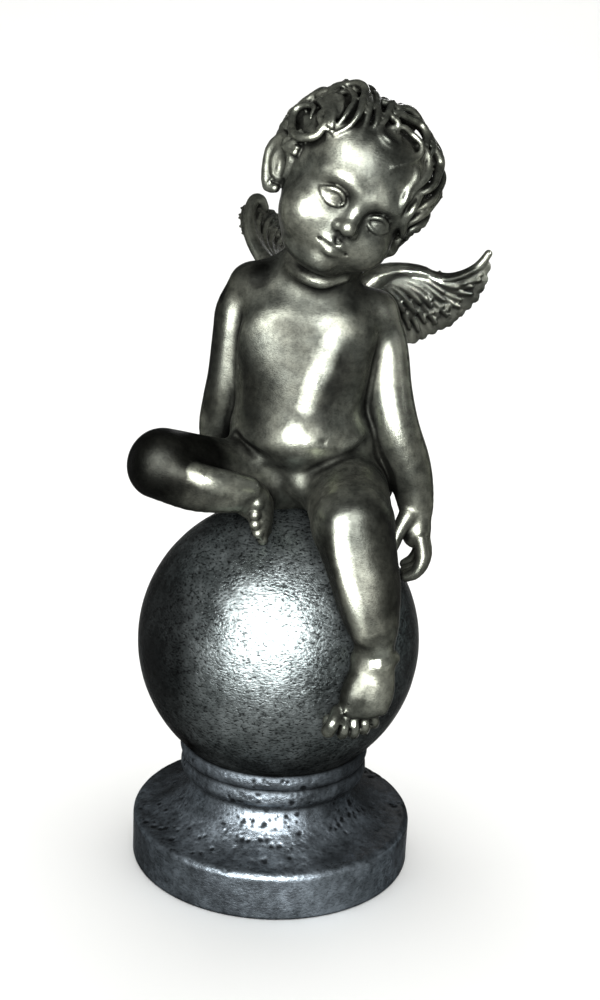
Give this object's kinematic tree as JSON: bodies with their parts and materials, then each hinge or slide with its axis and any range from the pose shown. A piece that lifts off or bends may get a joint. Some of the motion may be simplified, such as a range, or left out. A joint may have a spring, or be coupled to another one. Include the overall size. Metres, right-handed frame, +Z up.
{
  "type": "winged cherub statue",
  "caption": "Winged cherub seated on a ball with one leg folded, on a round moulded plinth, cast and painted dark pewter.",
  "frame": {"origin": "centre of the plinth's underside", "axes": "+Z up, -Y the way the cherub's chest faces, +X to the cherub's left"},
  "size_m": [0.307, 0.299, 0.6796],
  "materials": {
    "plinth_paint": "dark pewter metallic paint on coarse pitted cast stone",
    "ball_paint": "dark pewter metallic paint on hammered and pitted cast stone",
    "cherub_paint": "dark pewter metallic paint on smooth cast stone"
  },
  "bodies": {
    "root": {"plinth": "plinth_paint", "ball": "ball_paint", "cherub": "cherub_paint"}
  },
  "joints": []
}
